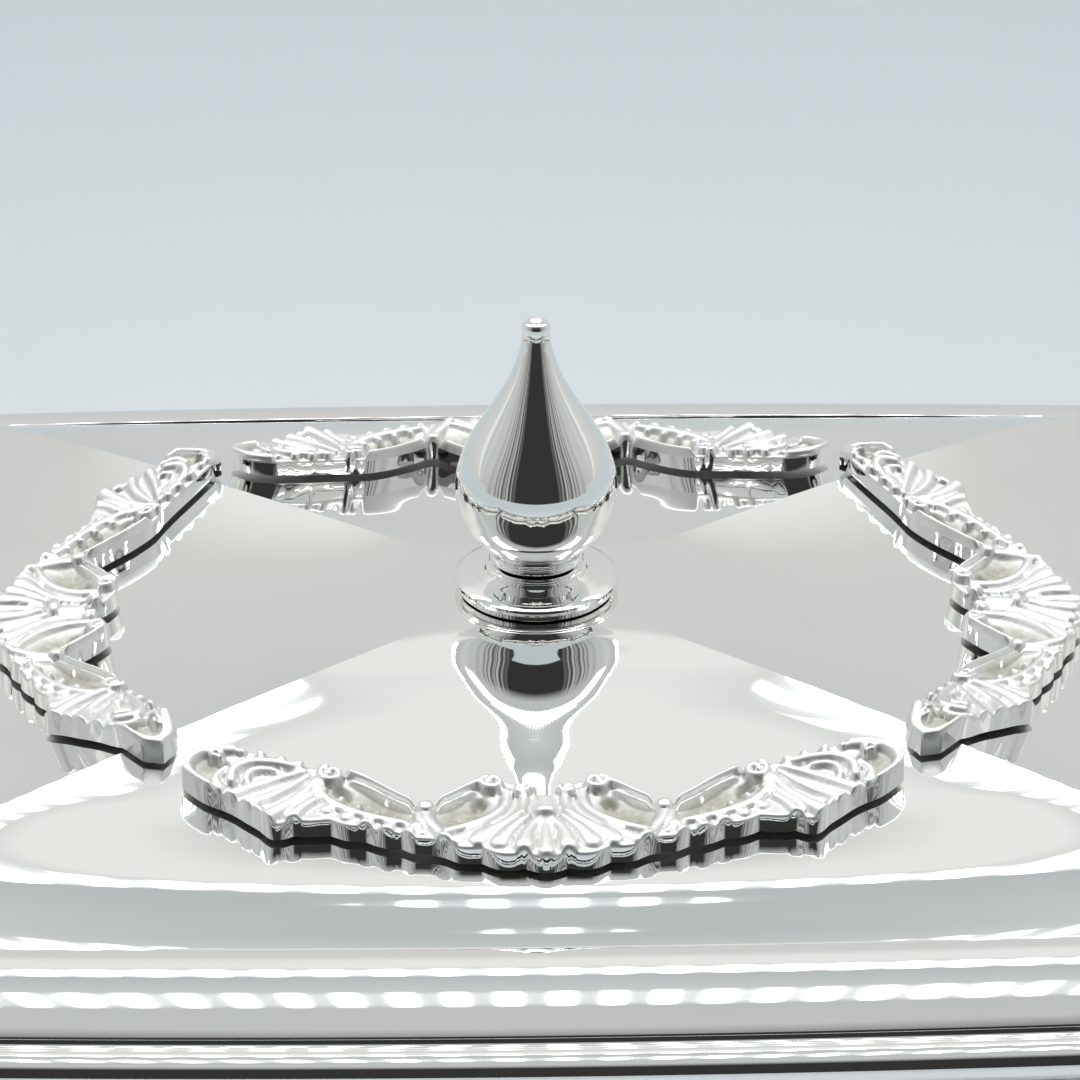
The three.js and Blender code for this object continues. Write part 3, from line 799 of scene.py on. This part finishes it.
# Each ridge: its line, its half width at both ends, and its height above the seat.
RIDGES = [
    (spiral((6.4, 47.9), 1.5, 0.35, -60, 1.25), 0.62, 0.5, 3.4),
    (spiral((26.3, 46.9), 1.55, 0.35, -60, 1.25), 0.62, 0.5, 3.4),
    (spiral((2.9, 49.0), 1.0, 0.2, 200, -1.0), 0.5, 0.4, 3.15),
    (drawn([(4.6, 49.4), (4.9, 52.2), (6.6, 55.2), (9.4, 57.4), (11.8, 58.6)]), 0.75, 0.55, 2.9),
    (drawn([(2.5, 50.6), (3.0, 53.6), (4.8, 56.6), (8.2, 59.4)]), 0.65, 0.6, 2.7),
    (drawn([(27.9, 47.6), (27.5, 50.2), (25.2, 53.0), (21.6, 55.2), (17.0, 57.0)]), 0.8, 0.55, 2.9),
    (drawn([(14.6, 53.6), (14.3, 55.6), (13.4, 57.6), (12.4, 59.8)]), 0.95, 0.7, 2.85),
    (drawn([(15.6, 54.2), (15.4, 56.4), (14.8, 58.6)]), 0.5, 0.5, 2.5),
    (drawn([(0, 50.8), (0, 53.0)]), 1.1, 1.5, 2.7),
    (drawn([(0, 56.2), (0, 58.8), (0, 62.6)]), 0.7, 1.0, 2.8),
    (drawn([(0.9, 56.2), (2.2, 58.8), (2.7, 61.6)]), 0.6, 1.25, 3.1),
    (drawn([(2.0, 55.2), (4.2, 58.2), (5.6, 60.9)]), 0.5, 1.2, 3.0),
    (drawn([(2.6, 53.8), (5.2, 56.8), (8.2, 60.2)]), 0.4, 1.1, 2.8),
    (drawn([(7.6, 57.4), (9.4, 59.0), (10.9, 60.2)]), 0.5, 0.8, 2.6),
    (drawn([(28.4, 48.4), (29.8, 51.0), (32.0, 53.8), (34.0, 55.9)]), 0.6, 1.1, 3.2),
    (drawn([(29.2, 47.2), (31.8, 49.8), (34.4, 51.8), (36.6, 53.0)]), 0.5, 0.9, 3.0),
    (drawn([(29.8, 46.2), (33.0, 47.8), (36.2, 49.6), (38.6, 51.2)]), 0.5, 0.8, 2.9),
    (drawn([(30.6, 45.6), (33.4, 44.9), (36.4, 45.0), (38.4, 46.4), (38.6, 48.6)]), 0.6, 0.75, 3.15),
    (drawn([(32.4, 47.0), (34.4, 46.2), (36.4, 46.8), (36.8, 48.4)]), 0.4, 0.55, 3.0),
    (drawn([(28.2, 51.8), (29.8, 53.6), (30.8, 55.4)]), 0.5, 0.9, 2.9),
    (drawn([(38.8, 42.6), (41.4, 42.9), (43.4, 44), (44.3, 45.6), (43.6, 47.6), (41.6, 49.4)]), 0.8, 0.75, 3),
    (spiral((40.9, 44.2), 0.9, 0.2, 150, 1.0), 0.4, 0.35, 3.1),
    (drawn([(39.4, 46.0), (40.6, 47.8), (40.0, 49.8)]), 0.5, 0.6, 2.7),
]
for step in range(6):
    root = (15.9 + 2.25 * step, 57.0 - 1.2 * step - 0.06 * step**2)
    tip = (root[0] + 0.9 + 0.22 * step, root[1] + 2.0 + 0.1 * step)
    RIDGES.append((drawn([root, tip]), 0.45, 0.85, 2.75))

# Each round boss: its centre, its two radii and its height above the seat.
BOSSES = [
    ((14.6, 53.3), 1.25, 1.15, 3.5),
    ((0, 54.4), 1.7, 0.95, 3.5),
    ((12.2, 60.0), 0.9, 0.8, 3.0),
    ((30.4, 45.1), 0.8, 0.75, 3.25),
    ((32.6, 44.3), 0.75, 0.7, 3.2),
    ((35.2, 43.6), 0.75, 0.7, 3.2),
    ((35.0, 54.2), 0.9, 0.9, 2.9),
    ((37.6, 43.0), 0.65, 0.6, 2.9),
]

# Each rim along the inner edge: where it starts and ends, how far in from the edge it lies,
# its half width and its height above the seat.
RIMS = [
    (7.6, 13.6, 0.6, 0.55, 3.3),
    (8.2, 13.4, 1.75, 0.5, 2.8),
    (15.7, 24.9, 0.6, 0.55, 3.3),
    (15.9, 24.4, 1.75, 0.5, 2.8),
]

# Each smooth hollow: its centre, its two radii, its lean in degrees and its depth.
HOLLOWS = [
    ((10.0, 53.6), 3.6, 2.1, 38, 1.0),
    ((20.8, 52.2), 4.6, 2.0, -34, 1.0),
    ((8.0, 51.0), 1.0, 0.8, 45, 0.9),
    ((24.9, 49.4), 1.1, 0.8, -40, 0.9),
    ((41.6, 46.4), 1.7, 1.9, 0, 0.8),
    ((39.6, 45.6), 0.7, 1.5, 10, 0.7),
]


def raised(height, top, share):
    """The height lifted towards a ridge's top by the given share."""
    return np.maximum(height, height + (top + RIDGE_LIFT - height) * share)


def mount_relief(along, out, inner, outer):
    """Height of the casting over its seat, and how deep each point lies in a recess."""
    from_inner = out - inner
    height = np.full(along.shape, MOUNT_BASE)
    for centre, long_radius, short_radius, lean, depth in HOLLOWS:
        turn = math.radians(lean)
        a = (along - centre[0]) * math.cos(turn) + (out - centre[1]) * math.sin(turn)
        b = (out - centre[1]) * math.cos(turn) - (along - centre[0]) * math.sin(turn)
        height -= 1.15 * depth * np.exp(-((a / long_radius) ** 2 + (b / short_radius) ** 2) ** 1.5)
    for low, high, offset, half, top in RIMS:
        fade = np.clip((along - low) / 0.8, 0, 1) * np.clip((high - along) / 0.8, 0, 1)
        d = np.abs(from_inner - offset) / half
        height = raised(height, top, fade * np.clip(1 - d**2, 0, 1) ** 0.6)
    for line, start_half, end_half, top in RIDGES:
        near = (
            (along > line[:, 0].min() - 2) & (along < line[:, 0].max() + 2)
            & (out > line[:, 1].min() - 2) & (out < line[:, 1].max() + 2)
        )
        distance = np.hypot(along[near][:, None] - line[:, 0], out[near][:, None] - line[:, 1])
        half = start_half + (end_half - start_half) * distance.argmin(axis=1) / (len(line) - 1)
        d = distance.min(axis=1) / (half * 1.15)
        height[near] = raised(height[near], top, np.clip(1 - d**2, 0, 1) ** 0.6)
    for centre, wide, deep, top in BOSSES:
        d2 = ((along - centre[0]) / wide) ** 2 + ((out - centre[1]) / deep) ** 2
        height = raised(height, top, np.clip(1 - d2, 0, 1) ** 0.5)
    edge = np.clip(np.minimum(from_inner, outer - out) / EDGE_ROUND, 0, 1)
    height -= 0.4 * (1 - np.sqrt(1 - (1 - edge) ** 2))
    recess = np.clip((2.75 - height) / 1.3, 0, 1) * edge
    return height, recess


def make_mount(side, quarter_turns):
    along = np.linspace(-MOUNT_REACH, MOUNT_REACH, STATIONS)
    from_middle = np.abs(along)
    knots, inner_knots, outer_knots = MOUNT_OUTLINE.T
    inner = flowing(knots, inner_knots, from_middle)
    outer = flowing(knots, outer_knots, from_middle)
    # The outer edge is lobed round the shell and cut into leaves beyond it.
    lobes = 0.7 * np.abs(np.cos(from_middle * math.pi / 5.2)) * np.clip((13 - from_middle) / 2, 0, 1)
    leaves = 0.5 * np.abs(np.sin(from_middle * 0.72)) * np.clip((from_middle - 14) / 2, 0, 1)
    outer = outer - 0.5 + lobes + leaves * np.clip((38 - from_middle) / 4, 0, 1)
    # The rows lie closer together at both edges.
    share = (1 - np.cos(np.pi * np.linspace(0, 1, ROWS))) / 2
    share = 0.55 * share + 0.45 * np.linspace(0, 1, ROWS)
    grid_along = np.repeat(along, ROWS)
    grid_inner = np.repeat(inner, ROWS)
    grid_outer = np.repeat(outer, ROWS)
    out = grid_inner + (grid_outer - grid_inner) * np.tile(share, STATIONS)
    height, recess = mount_relief(np.abs(grid_along), out, grid_inner, grid_outer)
    if quarter_turns % 2:
        out += END_MOUNT_SHIFT + END_MOUNT_BEND * (1 - (grid_along / MOUNT_REACH) ** 2)
        grid_along = grid_along * END_MOUNT_CHORD
    turned_to = quarter_turns * math.pi / 2
    x = grid_along * math.cos(turned_to) + out * math.sin(turned_to)
    y = grid_along * math.sin(turned_to) - out * math.cos(turned_to)
    seat = vault_z(x, y) + MOUNT_SEAT
    top = np.column_stack([x, y, seat + height])
    under = np.column_stack([x, y, seat])
    deselect_everything()
    bpy.ops.mesh.primitive_grid_add(x_subdivisions=ROWS - 1, y_subdivisions=STATIONS - 1, size=1)
    mount = named(bpy.context.object, f"mount_{side}_fine")
    mount.data.vertices.foreach_set("co", (under * MM).ravel())
    edit_all()
    bpy.ops.mesh.extrude_region_move(TRANSFORM_OT_translate={"value": (0, 0, 0)})
    bpy.ops.object.mode_set(mode="OBJECT")

    # The extruded copy of each grid point goes up to its place on the relief.
    count = len(mount.data.vertices)
    placed = np.empty(count * 3)
    mount.data.vertices.foreach_get("co", placed)
    placed = placed.reshape(-1, 3)
    extruded = np.zeros(count, bool)
    mount.data.vertices.foreach_get("select", extruded)
    order = {tuple(p): i for i, p in enumerate(np.round((under * MM).astype(np.float32), 7).tolist())}
    tone = np.zeros(count)
    for i in np.flatnonzero(extruded):
        source = order[tuple(np.round(placed[i].astype(np.float32), 7).tolist())]
        placed[i] = top[source] * MM
        tone[i] = recess[source]
    mount.data.vertices.foreach_set("co", placed.ravel())
    layer = mount.data.attributes.new("recess", "FLOAT", "POINT")
    layer.data.foreach_set("value", tone.astype(np.float32))
    take(mount)
    edit_all()
    bpy.ops.mesh.normals_make_consistent(inside=False)
    bpy.ops.object.mode_set(mode="OBJECT")
    smooth(mount, 55)
    # The upright sides are polished and the relief is left as cast.
    mount.data.materials.append(cast_silver)
    mount.data.materials.append(polished_silver)
    for face in mount.data.polygons:
        if abs(face.normal.z) < 0.25 and face.area > 0.3 * MM**2:
            face.material_index = 1
    settle(mount, "lid", "cast_silver", cast_silver, "mount_" + side)


for turn, side in enumerate(("front", "right", "back", "left")):
    make_mount(side, turn)


# ---- Knob: what fastens it under the lid ----
NUT_FLATS = 7.0


def make_knob_fastening():
    top = BORE_TOP - FIT_GAP
    profile = [(0, -8.0), (1.5, -8.0), (1.85, -7.6)]
    for thread in range(22):
        z = -7.4 + 0.5 * thread
        profile += [(1.9, z), (1.9, z + 0.12), (1.62, z + 0.25), (1.62, z + 0.35)]
    profile += [(1.9, 3.8), (1.9, top - 0.4), (1.6, top), (0, top)]
    stud = turn_on_lathe("knob_stud_fine", [(r, APEX_Z + z) for r, z in profile], steps=32)
    smooth(stud, 30)
    settle(stud, "lid", "steel_stud", steel, "knob_stud")

    low, high = (corner.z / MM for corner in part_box("knob_washer"))
    rim = [(STUD_HOLE, low), (5.8, low), (6.0, low + 0.2), (6.0, high - 0.2), (5.8, high), (STUD_HOLE, high)]
    washer = turn_on_lathe("knob_washer_fine", rim, steps=64, closed=True)
    smooth(washer, 30)
    settle(washer, "lid", "brass_fasteners", brass, "knob_washer")

    low, high = (corner.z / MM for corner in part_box("knob_nut"))
    to_corner = NUT_FLATS / math.sqrt(3)
    deselect_everything()
    middle = (0, 0, (low + high) / 2 * MM)
    bpy.ops.mesh.primitive_cylinder_add(
        vertices=6, radius=to_corner * MM, depth=(high - low) * MM, location=middle
    )
    nut = named(bpy.context.object, "knob_nut_fine")
    place_in_mesh(nut)
    bpy.ops.mesh.primitive_cylinder_add(vertices=32, radius=STUD_HOLE * MM, depth=0.01, location=middle)
    bore = bpy.context.object
    finish_with(nut, "BOOLEAN", object=bore, operation="DIFFERENCE", solver="EXACT")
    bpy.data.objects.remove(bore)
    finish_with(nut, "BEVEL", width=0.25 * MM, segments=2, limit_method="ANGLE")
    smooth(nut, 30)
    settle(nut, "lid", "brass_fasteners", brass, "knob_nut")


make_knob_fastening()

# ---- Lid: strip that enters the box, and lining ----
WALL_INSET = 5.0
WALL_SHEET = 1.2
WALL_INNER = WALL_INSET + WALL_SHEET
SLIDE_GAP = 0.7
TONGUE_INSET = WALL_INNER + SLIDE_GAP
TONGUE_DEPTH = 6.0
STRIP_OUTER = SKIRT_INSET + LID_SHEET + FIT_GAP


def make_locating_strip():
    low = LID_BOTTOM - TONGUE_DEPTH
    section = [
        (STRIP_OUTER, LID_BOTTOM + 0.6),
        (TONGUE_INSET - 0.5, LID_BOTTOM + 0.6),
        (TONGUE_INSET, LID_BOTTOM + 0.1),
        (TONGUE_INSET, low + 0.4),
        (TONGUE_INSET + 0.2, low + 0.1),
        (TONGUE_INSET + 0.5, low),
        (TONGUE_INSET + 0.8, low + 0.1),
        (TONGUE_INSET + 1.0, low + 0.4),
        (TONGUE_INSET + 1.0, LID_BOTTOM + 1.6),
        (TONGUE_INSET + 0.6, LID_BOTTOM + 2.0),
        (STRIP_OUTER, LID_BOTTOM + 2.0),
    ]
    strip = run_moulding("lid_locating_strip_fine", section)
    smooth(strip, 40)
    settle(strip, "lid", "polished_silver", polished_silver, "lid_locating_strip")


CROWN_REACH = 60


def soft_section(inset, low, high, round_edge, crown):
    """A pad seen in section: rounded at its edges and crowned towards the middle."""
    edge_top = high - crown
    centre = inset + round_edge
    section = [(inset + 0.6 * round_edge, low)]
    section += arc((centre, low + round_edge), round_edge, 240, 180, 4)
    section += arc((centre, edge_top - round_edge), round_edge, 180, 90, 6)
    for share in (0.06, 0.14, 0.24, 0.36, 0.5, 0.66, 0.82):
        rise = crown * math.sin(math.pi / 2 * min(share * 1.6, 1))
        section.append((centre + share * CROWN_REACH, edge_top + rise))
    return section


def make_lid_pad():
    low, high = (corner.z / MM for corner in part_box("lid_lining_pad"))
    upright = soft_section(STRIP_OUTER + FIT_GAP, low, high, 0.9, 0.7)
    section = [(inset, low + high - z) for inset, z in upright]
    pad = raise_plate("lid_pad", section)
    smooth(pad, 60)
    settle(pad, "lid", "velvet_lining", velvet, "lid_lining_pad")


make_locating_strip()
make_lid_pad()


# ---- Body: walls, mouldings and base ----
RIM_BACK = WALL_INSET - FIT_GAP
CORNERS = ("front_left", "front_right", "back_right", "back_left")
SCREW_CLEAR = 1.6
DRILL_LENGTH = 5.0


def make_walls():
    low, high = (corner.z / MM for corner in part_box("body_walls"))
    section = [
        (WALL_INSET, low), (WALL_INNER, low), (WALL_INNER, high - 0.3), (WALL_INNER - 0.3, high),
        (WALL_INSET + 0.3, high), (WALL_INSET, high - 0.3),
    ]
    walls = run_moulding("body_walls_fine", section)
    smooth(walls, 40)
    settle(walls, "box", "polished_silver", polished_silver, "body_walls")


def make_mouth_moulding():
    low, high = (corner.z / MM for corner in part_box("mouth_moulding"))
    section = [(RIM_BACK, low), (RIM_BACK, high), (1.9, high), (1.5, high - 0.2), (1.2, high - 0.45)]
    for a in np.radians(np.arange(128, 236, 9)):
        section.append((1.75 + 1.75 * math.cos(a), high - 2.2 + 1.75 * math.sin(a)))
    foot = [(1.0, 3.75), (1.25, 3.85), (1.55, 3.9), (1.7, 4.3), (1.9, 4.7)]
    foot += [(2.3, 5.05), (2.8, 5.3), (3.1, 5.7), (3.4, 6.2)]
    section += [(inset, high - drop) for inset, drop in foot] + [(3.6, low)]
    moulding = run_moulding("mouth_moulding_fine", section)
    smooth(moulding, 35)
    settle(moulding, "box", "polished_silver", polished_silver, "mouth_moulding")


def make_plinth():
    low, high = (corner.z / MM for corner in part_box("plinth_moulding"))
    section = [(RIM_BACK, low), (RIM_BACK, high), (3.9, high), (3.4, high - 0.25), (3.3, high - 0.7)]
    section += [(3.05, high - 1.0), (2.7, high - 1.15)]
    for a in np.radians(np.arange(5, 80, 8)):
        section.append((2.6 - 2.9 * math.sin(a), high - 1.5 - 2.9 * (1 - math.cos(a))))
    section += [(-0.5, high - 4.35), (-0.7, high - 4.75), (-1.1, high - 4.95), (-1.5, high - 5.15)]
    for a in np.radians(np.arange(50, -50, -12)):
        section.append((-1.0 - math.cos(a), low + 1.6 + 1.2 * math.sin(a)))
    section += [(-1.6, low + 0.3), (-1.3, low)]
    plinth = run_moulding("plinth_moulding_fine", section)
    smooth(plinth, 35)
    settle(plinth, "box", "polished_silver", polished_silver, "plinth_moulding")


def foot_place(corner):
    low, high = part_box("foot_" + corner)
    return (low.x + high.x) / 2 / MM, (low.y + high.y) / 2 / MM


def make_base_plate():
    low, high = (corner.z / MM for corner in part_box("base_plate"))
    edge = WALL_INSET
    section = [(edge + 0.2, low), (edge, low + 0.2), (edge, high - 0.2), (edge + 0.2, high)]
    plate = raise_plate("base_plate_fine", section)
    smooth(plate, 40)
    for corner in CORNERS:
        x, y = foot_place(corner)
        bpy.ops.mesh.primitive_cylinder_add(
            vertices=32,
            radius=SCREW_CLEAR * MM,
            depth=DRILL_LENGTH * MM,
            location=(x * MM, y * MM, (low + high) / 2 * MM),
        )
        drill = bpy.context.object
        finish_with(plate, "BOOLEAN", object=drill, operation="DIFFERENCE", solver="EXACT")
        bpy.data.objects.remove(drill)
    settle(plate, "box", "polished_silver", polished_silver, "base_plate")


make_walls()
make_mouth_moulding()
make_plinth()
make_base_plate()


# ---- Body: feet, their screws and felts ----
FOOT_RADIUS = 8.4
SCREW_LENGTH = 8.0
SCREW_HEAD = 1.5


def make_foot():
    low, high = (corner.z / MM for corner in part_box("foot_front_left"))
    tall = high - low
    bore_end = high - SCREW_LENGTH - 0.6

    def at(radius, share):
        return radius, low + share * tall

    profile = [(0, low), (3.6, low), (4.2, low + 0.12), (4.8, low + 0.5)]
    profile += bezier((4.8, low + 0.5), (6.9, low + 1.6), (7.4, low + 5.4), at(4.35, 0.64), 18)[1:]
    profile += [at(4.2, 0.66), at(4.25, 0.69), at(4.7, 0.7), at(4.95, 0.72), at(4.95, 0.755), at(4.7, 0.775)]
    profile += bezier(at(4.9, 0.78), at(5.4, 0.86), at(7.4, 0.84), at(8.0, 0.87), 10)
    profile += [at(8.3, 0.885), at(FOOT_RADIUS, 0.91), (FOOT_RADIUS, high - 0.25), (8.15, high)]
    profile += [(SCREW_CLEAR, high), (SCREW_CLEAR, bore_end), (0, bore_end)]
    return turn_on_lathe("foot", profile, steps=64)


def make_screw():
    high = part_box("foot_front_left")[1].z / MM
    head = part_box("foot_screw_front_left")[1].z / MM - SCREW_HEAD
    profile = [(0, high - SCREW_LENGTH), (0.5, high - SCREW_LENGTH), (0.9, high - 7.6)]
    for thread in range(13):
        z = high - 7.4 + 0.5 * thread
        profile += [(1.2, z), (1.2, z + 0.1), (0.95, z + 0.22), (0.95, z + 0.36)]
    profile += [(1.2, high - 0.8), (1.2, head), (2.85, head), (3.0, head + 0.12), (3.0, head + 0.45)]
    profile += [(2.75, head + 0.9), (2.1, head + 1.25), (1.1, head + 1.45), (0, head + SCREW_HEAD)]
    screw = turn_on_lathe("foot_screw", profile, steps=40)
    bpy.ops.mesh.primitive_cube_add(
        size=1, location=(0, 0, (head + SCREW_HEAD) * MM), scale=(7 * MM, 0.6 * MM, 1.2 * MM)
    )
    slot = bpy.context.object
    finish_with(screw, "BOOLEAN", object=slot, operation="DIFFERENCE", solver="EXACT")
    bpy.data.objects.remove(slot)
    return screw


def make_felt():
    profile = [(0, 0), (3.9, 0), (4.15, 0.15), (4.2, 0.4), (4.2, 0.75), (4.1, 0.95), (3.9, 1.0), (0, 1.0)]
    return turn_on_lathe("foot_felt", profile, steps=48)


def make_feet():
    patterns = (
        (make_foot(), "foot_", "cast_silver", cast_silver),
        (make_screw(), "foot_screw_", "brass_fasteners", brass),
        (make_felt(), "foot_felt_", "foot_felt", felt),
    )
    for pattern, stem, slot, material in patterns:
        for corner in CORNERS:
            piece = copy_to(pattern, stem + corner + "_fine", *foot_place(corner))
            smooth(piece, 35)
            settle(piece, "box", slot, material, stem + corner)
        bpy.data.objects.remove(pattern)


make_feet()


# ---- Body: velvet lining ----
BOARD_THICKNESS = 2.0
PAD_GAP = 0.9


def make_lining_board(node, quarter_turns):
    """A thin padded board that follows the bow of its wall."""
    low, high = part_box(node)
    long_side = quarter_turns % 2 == 0
    reach = (high.x - low.x) / 2 if long_side else (high.y - low.y) / 2
    half = (HALF_DEPTH if long_side else HALF_WIDTH) - WALL_INNER - FIT_GAP
    thick = BOARD_THICKNESS / 2 * MM
    tall = high.z - low.z
    middle = (low.z + high.z) / 2
    deselect_everything()
    bpy.ops.mesh.primitive_cube_add(
        size=1, location=(0, 0, middle), scale=(2 * reach, 2 * thick, tall)
    )
    board = named(bpy.context.object, node + "_padded")
    place_in_mesh(board)
    edit_all()
    bpy.ops.mesh.bevel(offset=0.5 * MM, segments=3, affect="EDGES")
    for x in np.linspace(-reach, reach, 26)[1:-1]:
        bpy.ops.mesh.select_all(action="SELECT")
        bpy.ops.mesh.bisect(plane_co=(x, 0, 0), plane_no=(1, 0, 0))
    for z in np.linspace(low.z, high.z, 12)[1:-1]:
        bpy.ops.mesh.select_all(action="SELECT")
        bpy.ops.mesh.bisect(plane_co=(0, 0, z), plane_no=(0, 0, 1))
    bpy.ops.object.mode_set(mode="OBJECT")
    turn = quarter_turns * math.pi / 2
    for vertex in board.data.vertices:
        along, thickness, z = vertex.co
        edge = max(abs(along) / reach, abs(z - middle) / (tall / 2))
        slack = 0.35 * MM * min(1, 6 * max(edge - 0.84, 0)) if thickness > 0 else 0
        out = half * MM - thick - bow(along / MM) * MM - thickness + slack
        x = along * math.cos(turn) + out * math.sin(turn)
        y = along * math.sin(turn) - out * math.cos(turn)
        vertex.co = (x, y, z)
    clean_skin(board)
    smooth(board, 60)
    settle(board, "box", "velvet_lining", velvet, node)


for turn, side in enumerate(("front", "right", "back", "left")):
    make_lining_board("lining_" + side, turn)


def make_floor_pad():
    low, high = (corner.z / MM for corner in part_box("floor_pad"))
    inset = WALL_INNER + FIT_GAP + BOARD_THICKNESS + PAD_GAP
    pad = raise_plate("floor_pad_soft", soft_section(inset, low, high, 1.6, 1.4))
    smooth(pad, 60)
    settle(pad, "box", "velvet_lining", velvet, "floor_pad")


make_floor_pad()
